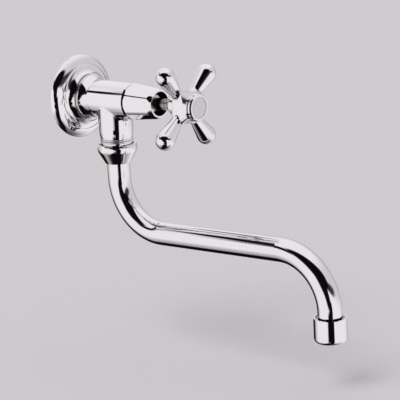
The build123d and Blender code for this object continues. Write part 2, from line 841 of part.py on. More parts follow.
# Spout tube: down from the nut, out along the run, and down again to the outlet
with BuildPart() as spout_tube:
    with BuildLine(Plane.YZ):
        FilletPolyline(
            (-neck_out, tube_top),
            (-neck_out, run_near_height),
            (-outlet_out, run_far_height),
            (-outlet_out, tube_end),
            radius=bend_radius,
        )
    with BuildSketch(level(neck_out, tube_top)):
        Circle(tube_radius)
        Circle(tube_bore_radius, mode=Mode.SUBTRACT)
    sweep()
finish(spout_tube, "spout_tube")

# Outlet nipple: soldered on the tube's lower end, threaded for the aerator
with BuildPart() as outlet_nipple:
    with BuildSketch(outlet_section):
        with BuildLine():
            Polyline(
                (tube_radius + seated_clearance, nipple_top),
                (nipple_thread_radius - seated_clearance, nipple_top),
                (nipple_thread_radius - seated_clearance, nipple_bottom),
                (tube_bore_radius, nipple_bottom),
                (tube_bore_radius, tube_end),
                (tube_radius + seated_clearance, tube_end),
                close=True,
            )
        make_face()
    revolve(axis=outlet_axis)
finish(outlet_nipple, "outlet_nipple")

# Rubber gasket under the nipple
with BuildPart() as aerator_gasket:
    with BuildSketch(level(outlet_out, insert_top)):
        Circle(nipple_thread_radius - seated_clearance)
        Circle(tube_bore_radius, mode=Mode.SUBTRACT)
    extrude(amount=aerator_gasket_thickness)
finish(aerator_gasket, "aerator_gasket")

# Aerator insert: a cup with a ring of jets in its top and a lip that carries the screens
insert_radius = insert_diameter / 2
insert_bore_radius = insert_radius - insert_wall
with BuildPart() as aerator_insert:
    with BuildSketch(level(outlet_out, insert_step)):
        Circle(nipple_thread_radius - seated_clearance)
    extrude(amount=insert_flange_thickness)
    with BuildSketch(level(outlet_out, insert_bottom)):
        Circle(insert_radius)
        Circle(insert_bore_radius, mode=Mode.SUBTRACT)
    extrude(amount=insert_step - insert_bottom)
    with BuildSketch(level(outlet_out, insert_bottom)):
        Circle(insert_radius)
        Circle(insert_bore_radius - insert_lip, mode=Mode.SUBTRACT)
    extrude(amount=screen_thickness)
    with BuildSketch(level(outlet_out, insert_step)):
        with PolarLocations(insert_jet_circle / 2, insert_jets):
            Circle(insert_jet_diameter / 2)
    extrude(amount=insert_flange_thickness, mode=Mode.SUBTRACT)
finish(aerator_insert, "aerator_insert")

# Two wire screens, one above the other
screen_radius = insert_bore_radius - seated_clearance
screen_floor = insert_bottom + screen_thickness
hole_count = int(screen_radius * sqrt(2) / screen_hole_pitch)
with BuildPart() as aerator_screens:
    for index in range(2):
        with BuildSketch(level(outlet_out, screen_floor + index * screen_spacing)):
            Circle(screen_radius)
            with GridLocations(screen_hole_pitch, screen_hole_pitch, hole_count, hole_count):
                Rectangle(screen_hole, screen_hole, mode=Mode.SUBTRACT)
    extrude(amount=screen_thickness)
finish(aerator_screens, "aerator_screens")

# Aerator housing: screwed over the nipple, with a rounded foot and a lip under the insert
with BuildPart() as aerator_housing:
    with BuildSketch(outlet_section):
        with BuildLine():
            Polyline(
                (aerator_radius - aerator_foot_radius, aerator_bottom),
                (aerator_mouth_diameter / 2, aerator_bottom),
                (aerator_mouth_diameter / 2, insert_bottom),
                (insert_radius + seated_clearance, insert_bottom),
                (insert_radius + seated_clearance, insert_step),
                (nipple_thread_radius, insert_step),
                (nipple_thread_radius, aerator_top),
                (aerator_radius, aerator_top),
                (aerator_radius, aerator_bottom + aerator_foot_radius),
            )
            RadiusArc(
                (aerator_radius, aerator_bottom + aerator_foot_radius),
                (aerator_radius - aerator_foot_radius, aerator_bottom),
                aerator_foot_radius,
            )
        make_face()
    revolve(axis=outlet_axis)
finish(aerator_housing, "aerator_housing")
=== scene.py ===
import json
import math

import bmesh
import bpy
from mathutils import Matrix, Vector

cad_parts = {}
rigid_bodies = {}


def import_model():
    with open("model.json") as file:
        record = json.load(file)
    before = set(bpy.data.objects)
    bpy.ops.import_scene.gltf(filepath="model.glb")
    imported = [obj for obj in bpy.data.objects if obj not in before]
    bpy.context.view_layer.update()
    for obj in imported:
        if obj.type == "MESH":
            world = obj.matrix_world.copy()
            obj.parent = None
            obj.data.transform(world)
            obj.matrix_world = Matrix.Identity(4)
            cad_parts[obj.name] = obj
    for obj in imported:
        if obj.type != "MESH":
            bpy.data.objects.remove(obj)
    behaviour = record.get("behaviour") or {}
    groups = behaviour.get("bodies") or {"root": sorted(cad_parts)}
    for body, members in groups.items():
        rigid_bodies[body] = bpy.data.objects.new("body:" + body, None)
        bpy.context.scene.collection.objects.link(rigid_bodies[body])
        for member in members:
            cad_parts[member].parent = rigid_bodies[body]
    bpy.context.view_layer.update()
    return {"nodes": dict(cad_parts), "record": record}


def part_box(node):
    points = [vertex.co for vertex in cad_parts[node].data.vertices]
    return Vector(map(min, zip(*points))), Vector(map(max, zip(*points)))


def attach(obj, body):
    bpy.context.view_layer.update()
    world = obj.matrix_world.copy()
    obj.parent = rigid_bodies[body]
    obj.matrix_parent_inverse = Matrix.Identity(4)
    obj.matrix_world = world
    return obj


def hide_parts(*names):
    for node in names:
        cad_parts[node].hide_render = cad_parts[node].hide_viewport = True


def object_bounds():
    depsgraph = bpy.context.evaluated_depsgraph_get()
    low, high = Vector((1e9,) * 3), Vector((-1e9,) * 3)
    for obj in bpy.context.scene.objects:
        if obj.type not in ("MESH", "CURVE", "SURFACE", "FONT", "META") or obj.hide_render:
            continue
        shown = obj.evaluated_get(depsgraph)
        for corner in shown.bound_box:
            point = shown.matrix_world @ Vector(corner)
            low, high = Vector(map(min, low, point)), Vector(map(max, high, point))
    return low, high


for leftOver in list(bpy.data.objects):
    bpy.data.objects.remove(leftOver)

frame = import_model()
nodes = frame["nodes"]
print("frame loaded with", len(nodes), "CAD nodes")


# Small helpers for node trees and objects

def setInputs(tree, node, inputs):
    # a socket is linked, anything else is a constant
    for key, value in inputs.items():
        socket = node.inputs[key]
        if isinstance(value, bpy.types.NodeSocket):
            tree.links.new(value, socket)
        else:
            socket.default_value = value


def addNode(tree, kind, inputs=None, **settings):
    node = tree.nodes.new(kind)
    for name, value in settings.items():
        setattr(node, name, value)
    setInputs(tree, node, inputs or {})
    return node


def addMath(tree, operation, *values):
    return addNode(tree, "ShaderNodeMath", dict(enumerate(values)), operation=operation).outputs[0]


def mixColours(tree, factor, first, second):
    # the node's colour pair are its inputs 6 and 7, and their mix is its output 2
    mix = addNode(tree, "ShaderNodeMix", {"Factor": factor, 6: first, 7: second}, data_type="RGBA")
    return mix.outputs[2]


def spreadValue(tree, value, low, high):
    return addNode(tree, "ShaderNodeMapRange", {"Value": value, "To Min": low, "To Max": high}).outputs[0]


def addBump(tree, height, distance, normal=None):
    bump = addNode(tree, "ShaderNodeBump", {"Height": height, "Distance": distance, "Strength": 1.0})
    if normal is not None:
        tree.links.new(normal, bump.inputs["Normal"])
    return bump.outputs[0]


def newGroup(name, inputs, outputs):
    group = bpy.data.node_groups.new(name, "ShaderNodeTree")
    for label, kind, value in inputs:
        socket = group.interface.new_socket(label, in_out="INPUT", socket_type=kind)
        socket.default_value = value
    for label, kind in outputs:
        group.interface.new_socket(label, in_out="OUTPUT", socket_type=kind)
    source = group.nodes.new("NodeGroupInput").outputs
    sink = group.nodes.new("NodeGroupOutput").inputs
    return group, source, sink


def placeGroup(tree, group, inputs):
    node = tree.nodes.new("ShaderNodeGroup")
    node.node_tree = group
    setInputs(tree, node, inputs)
    return node.outputs


def newMaterial(name):
    material = bpy.data.materials.new(name)
    material.use_nodes = True
    shader = material.node_tree.nodes["Principled BSDF"]
    return material, material.node_tree, shader


def wireShader(tree, shader, colour, rough, normal):
    tree.links.new(colour, shader.inputs["Base Color"])
    tree.links.new(rough, shader.inputs["Roughness"])
    tree.links.new(normal, shader.inputs["Normal"])


def newMesh(name, bm):
    mesh = bpy.data.meshes.new(name)
    bm.to_mesh(mesh)
    bm.free()
    return mesh


def linkObject(name, data):
    holder = bpy.data.objects.new(name, data)
    bpy.context.scene.collection.objects.link(holder)
    return holder


# Node groups that several finishes share

groupValues = {
    "hazeRoughness": 0.55,
    "ringDetail": 2.0,
    "creaseSamples": 12,
}


def makeHazeGroup():
    # a slow cloud over the surface, as left by a polishing mop, a mould or a thumb
    group, source, sink = newGroup(
        "surfaceHaze",
        [("Scale", "NodeSocketFloat", 60.0), ("Detail", "NodeSocketFloat", 3.0),
         ("Contrast", "NodeSocketFloat", 0.5)],
        [("Mask", "NodeSocketFloat")])
    place = addNode(group, "ShaderNodeTexCoord").outputs["Object"]
    cloud = addNode(group, "ShaderNodeTexNoise", {
        "Vector": place, "Scale": source["Scale"], "Detail": source["Detail"],
        "Roughness": groupValues["hazeRoughness"]}).outputs[0]
    centred = addMath(group, "SUBTRACT", cloud, 0.5)
    stretched = addMath(group, "MULTIPLY", centred, addMath(group, "ADD", source["Contrast"], 1.0))
    mask = addNode(group, "ShaderNodeMath", {0: stretched, 1: 0.5}, operation="ADD", use_clamp=True)
    group.links.new(mask.outputs[0], sink["Mask"])
    return group


def makeTurningGroup():
    # fine rings at right angles to the axis that a piece was turned on
    group, source, sink = newGroup(
        "turningMarks",
        [("Axis", "NodeSocketVector", (0.0, 1.0, 0.0)), ("Rings", "NodeSocketFloat", 4000.0)],
        [("Height", "NodeSocketFloat")])
    place = addNode(group, "ShaderNodeTexCoord").outputs["Object"]
    along = addNode(group, "ShaderNodeVectorMath", {0: place, 1: source["Axis"]},
                    operation="DOT_PRODUCT").outputs["Value"]
    steps = addMath(group, "MULTIPLY", along, source["Rings"])
    rings = addNode(group, "ShaderNodeTexNoise", {
        "W": steps, "Scale": 1.0, "Detail": groupValues["ringDetail"]}, noise_dimensions="1D")
    group.links.new(rings.outputs[0], sink["Height"])
    return group


def makeCreaseGroup():
    # painted shade in the corners between two forms: the colour goes dark where ambient occlusion finds
    # them closed in
    group, source, sink = newGroup(
        "creaseShade",
        [("Reach", "NodeSocketFloat", 0.002), ("Open", "NodeSocketFloat", 0.8),
         ("Closed", "NodeSocketFloat", 0.4)],
        [("Mask", "NodeSocketFloat")])
    openness = addNode(group, "ShaderNodeAmbientOcclusion", {"Distance": source["Reach"]},
                       samples=groupValues["creaseSamples"]).outputs["AO"]
    mask = addNode(group, "ShaderNodeMapRange", {
        "Value": openness, "From Min": source["Closed"], "From Max": source["Open"],
        "To Min": 1.0, "To Max": 0.0}, interpolation_type="SMOOTHSTEP")
    group.links.new(mask.outputs[0], sink["Mask"])
    return group


surfaceHaze = makeHazeGroup()
turningMarks = makeTurningGroup()
creaseShade = makeCreaseGroup()
print("node groups ready")


# Finishes

alongInlet = (0.0, 1.0, 0.0)
alongSpout = (0.0, 0.0, 1.0)

chrome = {
    "bright": (0.880, 0.874, 0.880, 1.0),
    "dull": (0.845, 0.838, 0.846, 1.0),
    "roughLow": 0.020,
    "roughHigh": 0.045,
    "hazeScale": 55.0,
    "hazeDetail": 4.0,
    "hazeContrast": 1.2,
    "rippleScale": 38.0,
    "rippleHeight": 0.00004,
    "rings": 2600.0,
    "ringHeight": 0.0000006,
    # near-black colour of the painted shade in tight corners
    "crease": (0.030, 0.028, 0.030, 1.0),
    "creaseReach": 0.0013,
    "creaseOpen": 0.75,
    "creaseClosed": 0.35,
    # near-black painted shade for the bore in the bonnet's mouth
    "bare": (0.035, 0.033, 0.034, 1.0),
    "boreShadeRough": 0.45,
    "shroudBore": 0.00936,  # radius just over the bonnet's mouth
}


def makeChrome(name, axis, boreShadeRadius=None):
    material, tree, shader = newMaterial(name)
    haze = placeGroup(tree, surfaceHaze, {
        "Scale": chrome["hazeScale"], "Detail": chrome["hazeDetail"],
        "Contrast": chrome["hazeContrast"]})["Mask"]
    ripple = placeGroup(tree, surfaceHaze, {
        "Scale": chrome["rippleScale"], "Detail": 0.0, "Contrast": 0.0})["Mask"]
    # painted shade mask for tight corners, from ambient occlusion
    crease = placeGroup(tree, creaseShade, {
        "Reach": chrome["creaseReach"], "Open": chrome["creaseOpen"],
        "Closed": chrome["creaseClosed"]})["Mask"]
    colour = mixColours(tree, haze, chrome["bright"], chrome["dull"])
    colour = mixColours(tree, crease, colour, chrome["crease"])
    rough = spreadValue(tree, haze, chrome["roughLow"], chrome["roughHigh"])
    if boreShadeRadius:
        # within this radius of the inlet's axis the bore is painted near black and rougher, as painted
        # shade in the bonnet's mouth
        place = addNode(tree, "ShaderNodeTexCoord").outputs["Object"]
        aside = addNode(tree, "ShaderNodeVectorMath", {0: place, 1: (1.0, 0.0, 1.0)},
                        operation="MULTIPLY").outputs[0]
        radius = addNode(tree, "ShaderNodeVectorMath", {0: aside}, operation="LENGTH").outputs["Value"]
        boreShadeMask = addMath(tree, "LESS_THAN", radius, boreShadeRadius)
        # painted shade: the bore inside the mouth takes the near-black colour
        colour = mixColours(tree, boreShadeMask, colour, chrome["bare"])
        rough = addNode(tree, "ShaderNodeMix", {0: boreShadeMask, 2: rough, 3: chrome["boreShadeRough"]}).outputs[0]
    normal = addBump(tree, ripple, chrome["rippleHeight"])
    if axis:
        rings = placeGroup(tree, turningMarks, {"Axis": axis, "Rings": chrome["rings"]})["Height"]
        normal = addBump(tree, rings, chrome["ringHeight"], normal)
    shader.inputs["Metallic"].default_value = 1.0
    wireShader(tree, shader, colour, rough, normal)
    return material


# turned metals: bare brass inside, and the nickel plate on the stem and headwork
turnedMetals = {
    "brass": {"light": (0.78, 0.60, 0.30, 1.0), "dark": (0.60, 0.43, 0.19, 1.0),
              "roughLow": 0.18, "roughHigh": 0.34, "scale": 140.0, "detail": 4.0, "contrast": 1.0,
              "rings": 5200.0, "height": 0.000012},
    "nickel": {"light": (0.60, 0.59, 0.59, 1.0), "dark": (0.26, 0.25, 0.25, 1.0),
               "roughLow": 0.08, "roughHigh": 0.20, "scale": 260.0, "detail": 4.0, "contrast": 1.0,
               "rings": 2600.0, "height": 0.000060},
}

steel = {
    "light": (0.60, 0.61, 0.62, 1.0),
    "dark": (0.47, 0.48, 0.50, 1.0),
    "roughLow": 0.16,
    "roughHigh": 0.30,
    "scale": 420.0,
    "detail": 5.0,
    "contrast": 1.4,
    "height": 0.000006,
}

# rubber, moulded polymer, fibre and the index enamel
softFinishes = {
    "blackRubber": {"light": (0.045, 0.045, 0.047, 1.0), "dark": (0.020, 0.020, 0.021, 1.0),
                    "roughLow": 0.42, "roughHigh": 0.62, "scale": 700.0, "detail": 5.0,
                    "contrast": 0.8, "height": 0.000020},
    "whitePolymer": {"light": (0.86, 0.86, 0.84, 1.0), "dark": (0.78, 0.78, 0.755, 1.0),
                     "roughLow": 0.36, "roughHigh": 0.50, "scale": 260.0, "detail": 5.0,
                     "contrast": 0.8, "height": 0.000010},
    "redFibre": {"light": (0.50, 0.13, 0.08, 1.0), "dark": (0.34, 0.07, 0.04, 1.0),
                 "roughLow": 0.60, "roughHigh": 0.85, "scale": 900.0, "detail": 5.0,
                 "contrast": 0.8, "height": 0.000030},
    "indexEnamel": {"light": (0.84, 0.82, 0.84, 1.0), "dark": (0.76, 0.74, 0.76, 1.0),
                    "roughLow": 0.22, "roughHigh": 0.34, "scale": 190.0, "detail": 5.0,
                    "contrast": 0.8, "height": 0.000006, "coat": 0.5, "coatRough": 0.08},
}


def makeGrained(name, look, metallic, axis=None):
    # the grain is the haze itself, or rings where the piece was turned on an axis
    material, tree, shader = newMaterial(name)
    haze = placeGroup(tree, surfaceHaze, {
        "Scale": look["scale"], "Detail": look["detail"], "Contrast": look["contrast"]})["Mask"]
    grain = haze
    if axis:
        grain = placeGroup(tree, turningMarks, {"Axis": axis, "Rings": look["rings"]})["Height"]
    colour = mixColours(tree, haze, look["light"], look["dark"])
    rough = spreadValue(tree, haze, look["roughLow"], look["roughHigh"])
    normal = addBump(tree, grain, look["height"])
    shader.inputs["Metallic"].default_value = metallic
    if "coat" in look:
        shader.inputs["Coat Weight"].default_value = look["coat"]
        shader.inputs["Coat Roughness"].default_value = look["coatRough"]
    wireShader(tree, shader, colour, rough, normal)
    return material


finishes = {
    "chromeBody": makeChrome("chromeBody", alongInlet),
    "chromeShroud": makeChrome("chromeShroud", alongInlet, boreShadeRadius=chrome["shroudBore"]),
    "chromeSpout": makeChrome("chromeSpout", alongSpout),
    "chromeHandle": makeChrome("chromeHandle", None),
    "nickelHeadwork": makeGrained("nickelHeadwork", turnedMetals["nickel"], 1.0, alongInlet),
    "brassHeadwork": makeGrained("brassHeadwork", turnedMetals["brass"], 1.0, alongInlet),
    "brassSpout": makeGrained("brassSpout", turnedMetals["brass"], 1.0, alongSpout),
    "springSteel": makeGrained("springSteel", steel, 1.0),
}
for finishName, look in softFinishes.items():
    finishes[finishName] = makeGrained(finishName, look, 0.0)

finishOfNode = {
    "chromeBody": ["wall_flange", "valve_body", "index_cap"],
    "chromeShroud": ["bonnet_shroud"],
    "chromeSpout": ["union_nut", "spout_tube", "outlet_nipple", "aerator_housing"],
    "chromeHandle": ["cross_handle"],
    "nickelHeadwork": ["headwork_housing", "spindle"],
    "brassHeadwork": ["valve_carrier", "washer_screw"],
    "brassSpout": ["spout_sleeve"],
    "springSteel": ["spindle_circlip", "handle_screw", "aerator_screens"],
    "blackRubber": ["spindle_o_rings", "seat_washer", "spout_o_rings", "aerator_gasket"],
    "whitePolymer": ["thrust_washer", "spout_glide_ring", "aerator_insert"],
    "redFibre": ["headwork_gasket"],
    "indexEnamel": ["index_disc"],
}
for finishName, members in finishOfNode.items():
    for member in members:
        slots = nodes[member].data.materials
        slots.clear()
        slots.append(finishes[finishName])
print("finishes on", sum(len(members) for members in finishOfNode.values()), "nodes")


# Woven wire screens in the aerator, which the CAD model holds as two pierced plates

weave = {
    "wireRadius": 0.00013,
    "pitch": 0.0009,
    "sides": 6,
    "stepsPerPitch": 4,
}


def addWire(bm, points, radius, sides):
    rings = []
    for i, point in enumerate(points):
        before = points[max(i - 1, 0)]
        after = points[min(i + 1, len(points) - 1)]
        ahead = (after - before).normalized()
        side = ahead.cross(Vector((0.0, 0.0, 1.0))).normalized()
        lift = side.cross(ahead)
        ring = []
        for k in range(sides):
            turn = 2 * math.pi * k / sides
            ring.append(bm.verts.new(point + radius * (math.cos(turn) * side + math.sin(turn) * lift)))
        rings.append(ring)
    for first, second in zip(rings, rings[1:]):
        for k in range(sides):
            bm.faces.new((first[k], first[k - 1], second[k - 1], second[k]))
    bm.faces.new(rings[0])
    bm.faces.new(reversed(rings[-1]))


def makeScreens():
    low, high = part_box("aerator_screens")
    centre = (low + high) / 2
    reach = (high.x - low.x) / 2 - weave["wireRadius"]
    plate = 2 * weave["wireRadius"]
    levels = [low.z + plate, high.z - plate]
    count = int(reach / weave["pitch"])
    bm = bmesh.new()
    for level in levels:
        for i in range(-count, count + 1):
            offset = i * weave["pitch"]
            half = math.sqrt(reach ** 2 - offset ** 2)
            steps = max(2, int(2 * half / weave["pitch"] * weave["stepsPerPitch"]))
            for crosswise in (0, 1):
                points = []
                for s in range(steps + 1):
                    along = half * (2 * s / steps - 1)
                    phase = math.pi * (along / weave["pitch"] + i + crosswise)
                    lift = weave["wireRadius"] * math.cos(phase)
                    flat = (offset, along) if crosswise else (along, offset)
                    points.append(Vector((centre.x + flat[0], centre.y + flat[1], level + lift)))
                addWire(bm, points, weave["wireRadius"], weave["sides"])
    bmesh.ops.recalc_face_normals(bm, faces=bm.faces)
    mesh = newMesh("wovenScreens", bm)
    mesh.shade_smooth()
    mesh.materials.append(finishes["springSteel"])
    piece = linkObject("wovenScreens", mesh)
    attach(piece, "spout")
    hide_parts("aerator_screens")


makeScreens()
print("woven screens made")


# Pipe thread on the inlet, which the CAD model holds as a plain cylinder of the crest's size

inletThread = {
    "pitch": 0.001814,  # G 1/2, in metres
    "crest": 0.0104775,
    "root": 0.0093155,
    "from": -0.002,  # the shank's shoulder
    "to": 0.020,  # the open end
    "runOut": 0.0016,  # length in which the groove fades at the shoulder
    "chamfer": 0.0008,
    "endLip": 1.2,  # how steeply the groove closes at the open end
    "rounding": 0.96,  # 1 makes sharp flanks
    "columns": 96,
    "rowsPerPitch": 10,
    "weld": 0.0000005,  # points closer than this become one
    "margin": 0.00002,  # slack in picking the plain cylinder's faces
    "endFacing": 0.9,  # faces that look along the axis more than this stay
}


def threadRadius(along, phase):
    # rounded flanks that run out at the shoulder and are cut back by the chamfer at the open end
    rounding = inletThread["rounding"]
    wave = math.asin(rounding * math.cos(2 * math.pi * phase)) / math.asin(rounding)
    depth = (inletThread["crest"] - inletThread["root"]) * (0.5 - 0.5 * wave)
    fade = min(max((along - inletThread["from"]) / inletThread["runOut"], 0.0), 1.0)
    left = inletThread["to"] - along
    face = inletThread["crest"] - inletThread["chamfer"]
    radius = min(inletThread["crest"] - depth * fade, face + left)
    return max(radius, face - inletThread["endLip"] * left)


def makeInletThread():
    length = inletThread["to"] - inletThread["from"]
    columns, perPitch = inletThread["columns"], inletThread["rowsPerPitch"]
    rows = math.ceil(length / inletThread["pitch"] + 1.0) * perPitch
    bm = bmesh.new()
    grid = []
    for i in range(columns + 1):
        turn = 2 * math.pi * i / columns
        line = []
        for j in range(rows + 1):
            climb = j / perPitch - 1.0 + i / columns
            along = inletThread["from"] + inletThread["pitch"] * climb
            along = min(max(along, inletThread["from"]), inletThread["to"])
            radius = threadRadius(along, j / perPitch)
            line.append(bm.verts.new((radius * math.sin(turn), along, radius * math.cos(turn))))
        grid.append(line)
    for first, second in zip(grid, grid[1:]):
        for j in range(rows):
            bm.faces.new((first[j], second[j], second[j + 1], first[j + 1]))
    bmesh.ops.remove_doubles(bm, verts=bm.verts, dist=inletThread["weld"])
    mesh = newMesh("inletThread", bm)
    mesh.shade_smooth()
    mesh.materials.append(finishes["chromeBody"])
    piece = linkObject("inletThread", mesh)
    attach(piece, "body")


def makeBodyCasting():
    # the CAD body without the plain cylinder that the thread takes the place of
    mesh = nodes["valve_body"].data.copy()
    mesh.name = "bodyCasting"
    low = inletThread["crest"] - inletThread["chamfer"] - inletThread["margin"]
    high = inletThread["crest"] + inletThread["margin"]
    bm = bmesh.new()
    bm.from_mesh(mesh)
    bare = []
    for face in bm.faces:
        around = all(low < math.hypot(v.co.x, v.co.z) < high for v in face.verts)
        behind = all(v.co.y > inletThread["from"] - inletThread["margin"] for v in face.verts)
        if around and behind and abs(face.normal.y) < inletThread["endFacing"]:
            bare.append(face)
    bmesh.ops.delete(bm, geom=bare, context="FACES")
    bm.to_mesh(mesh)
    bm.free()
    piece = linkObject("bodyCasting", mesh)
    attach(piece, "body")
    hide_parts("valve_body")
    print("thread takes the place of", len(bare), "faces")


makeInletThread()
makeBodyCasting()
print("inlet thread cut")


# Rounded roots where the handle's arms grow out of its square hub

armRoots = {
    "count": 4,
    "firstAngle": 39.75,  # degrees, as the arms stand in the CAD model
    "halfFlats": 0.0118,  # from the hub's axis to one of its flats
    "coneFrom": 0.008,
    "coneRadius": 0.003,
    "bulbAt": 0.033,
    "bulbRadius": 0.0073,
    "blend": 0.0045,  # radius of the rounding
    "frontReach": 0.0036,
    "backReach": 0.0030,
    "rows": 16,
    "steps": 7,
    "halvings": 50,
    "sharpAngle": 40.0,
}


def rootPlace(lift, depth, widening):
    # how far along a flat a ball of this lift touches both the flat and the arm's cone
    out = armRoots["halfFlats"] + lift
    near, far = -out, out
    for halving in range(armRoots["halvings"]):
        along = (near + far) / 2
        reach = (out + along) / math.sqrt(2)
        cone = armRoots["coneRadius"] + (reach - armRoots["coneFrom"]) * math.tan(widening)
        gap = (math.hypot((out - along) / math.sqrt(2), depth) - cone) * math.cos(widening) - lift
        near, far = (along, far) if gap > 0 else (near, along)
    return out, along, reach


def addArmRoot(bm, hinge, armAngle, side, widening):
    eighth = math.radians(45.0)
    outward = Vector((math.cos(armAngle), 0.0, math.sin(armAngle)))
    flat = Vector((math.cos(armAngle + side * eighth), 0.0, math.sin(armAngle + side * eighth)))
    towards = Vector((math.cos(armAngle - side * eighth), 0.0, math.sin(armAngle - side * eighth)))
    inward = Vector((0.0, 1.0, 0.0))
    ball, front, back = armRoots["blend"], armRoots["frontReach"], armRoots["backReach"]
    rows = []
    for i in range(armRoots["rows"] + 1):
        depth = -front + (front + back) * i / armRoots["rows"]
        out, along, reach = rootPlace(ball, depth, widening)
        middle = flat * out + towards * along + inward * depth
        radial = (middle - outward * reach).normalized()
        facing = radial * math.cos(widening) - outward * math.sin(widening)
        swing = flat.angle(facing)
        row = []
        for k in range(armRoots["steps"] + 1):
            share = k / armRoots["steps"]
            blended = flat * math.sin((1 - share) * swing) + facing * math.sin(share * swing)
            turn = blended / math.sin(swing)
            row.append(bm.verts.new(hinge + middle - ball * turn))
        cornerOut, cornerAlong = rootPlace(0.0, depth, widening)[:2]
        row.append(bm.verts.new(hinge + flat * cornerOut + towards * cornerAlong + inward * depth))
        rows.append(row)
    for first, second in zip(rows, rows[1:]):
        for k in range(len(first)):
            bm.faces.new((first[k - 1], first[k], second[k], second[k - 1]))
    for end in (rows[0], rows[-1]):
        for k in range(armRoots["steps"]):
            bm.faces.new((end[-1], end[k], end[k + 1]))


def makeArmRoots():
    hinge = Vector(frame["record"]["behaviour"]["joints"][0]["pos_m"])
    run = armRoots["bulbAt"] - armRoots["coneFrom"]
    widening = math.asin(armRoots["bulbRadius"] / math.hypot(run, armRoots["coneRadius"]))
    widening -= math.atan2(armRoots["coneRadius"], run)
    bm = bmesh.new()
    for i in range(armRoots["count"]):
        armAngle = math.radians(armRoots["firstAngle"] + 360.0 * i / armRoots["count"])
        for side in (-1, 1):
            addArmRoot(bm, hinge, armAngle, side, widening)
    bmesh.ops.recalc_face_normals(bm, faces=bm.faces)
    mesh = newMesh("armRoots", bm)
    mesh.shade_smooth()
    mesh.set_sharp_from_angle(angle=math.radians(armRoots["sharpAngle"]))
    mesh.materials.append(finishes["chromeHandle"])
    piece = linkObject("armRoots", mesh)
    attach(piece, "handle")


makeArmRoots()
print("arm roots rounded")


# Stage: a pale floor under the faucet and a light tent with black gaps that the chrome mirrors

paleGrey = (0.624, 0.597, 0.617, 1.0)

stage = {
    "drop": 0.035,  # of the floor below the faucet's lowest point
    "halfSize": 14.0,
    "floorRough": 0.9,
    "skyLevel": 0.74,
    "sunLevel": 0.26,
    "sunAzimuth": -105.0,
    "sunElevation": 58.0,
    "sunSpread": 34.0,
}


def makeFloor():
    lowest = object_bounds()[0].z - stage["drop"]
    half = stage["halfSize"]
    corners = ((-half, -half), (half, -half), (half, half), (-half, half))
    bm = bmesh.new()
    bm.faces.new([bm.verts.new((x, y, lowest)) for x, y in corners])
    mesh = newMesh("paleFloor", bm)
    material, tree, shader = newMaterial("paleFloor")
    shader.inputs["Base Color"].default_value = paleGrey
    shader.inputs["Roughness"].default_value = stage["floorRough"]
    shader.inputs["Specular IOR Level"].default_value = 0.0
    # seen from below the floor lets the camera through
    under = addNode(tree, "ShaderNodeNewGeometry").outputs["Backfacing"]
    clear = addNode(tree, "ShaderNodeBsdfTransparent").outputs[0]
    mixed = addNode(tree, "ShaderNodeMixShader", {0: under, 1: shader.outputs[0], 2: clear}).outputs[0]
    tree.links.new(mixed, tree.nodes["Material Output"].inputs["Surface"])
    mesh.materials.append(material)
    floor = linkObject("paleFloor", mesh)
    floor.visible_glossy = False


def makeGapGroup():
    # an oval or squarish gap between the tent's panels, in degrees of azimuth and elevation
    group, source, sink = newGroup(
        "tentGap",
        [("Azimuth", "NodeSocketFloat", 0.0), ("Elevation", "NodeSocketFloat", 0.0),
         ("Centre Azimuth", "NodeSocketFloat", 0.0), ("Centre Elevation", "NodeSocketFloat", 0.0),
         ("Half Width", "NodeSocketFloat", 10.0), ("Half Height", "NodeSocketFloat", 10.0),
         ("Tilt", "NodeSocketFloat", 0.0), ("Edge", "NodeSocketFloat", 0.1),
         ("Squareness", "NodeSocketFloat", 2.0)],
        [("Mask", "NodeSocketFloat")])
    aside = addMath(group, "SUBTRACT", source["Azimuth"], source["Centre Azimuth"])
    aside = addMath(group, "WRAP", aside, 180.0, -180.0)
    rise = addMath(group, "SUBTRACT", source["Elevation"], source["Centre Elevation"])
    rise = addMath(group, "SUBTRACT", rise, addMath(group, "MULTIPLY", aside, source["Tilt"]))
    across = addMath(group, "ABSOLUTE", addMath(group, "DIVIDE", aside, source["Half Width"]))
    across = addMath(group, "POWER", across, source["Squareness"])
    upward = addMath(group, "ABSOLUTE", addMath(group, "DIVIDE", rise, source["Half Height"]))
    upward = addMath(group, "POWER", upward, source["Squareness"])
    reach = addMath(group, "POWER", addMath(group, "ADD", across, upward),
                    addMath(group, "DIVIDE", 1.0, source["Squareness"]))
    mask = addNode(group, "ShaderNodeMapRange", {
        "Value": reach, "From Min": addMath(group, "SUBTRACT", 1.0, source["Edge"]),
        "From Max": addMath(group, "ADD", 1.0, source["Edge"]), "To Min": 1.0, "To Max": 0.0},
        interpolation_type="SMOOTHSTEP")
    group.links.new(mask.outputs[0], sink["Mask"])
    return group


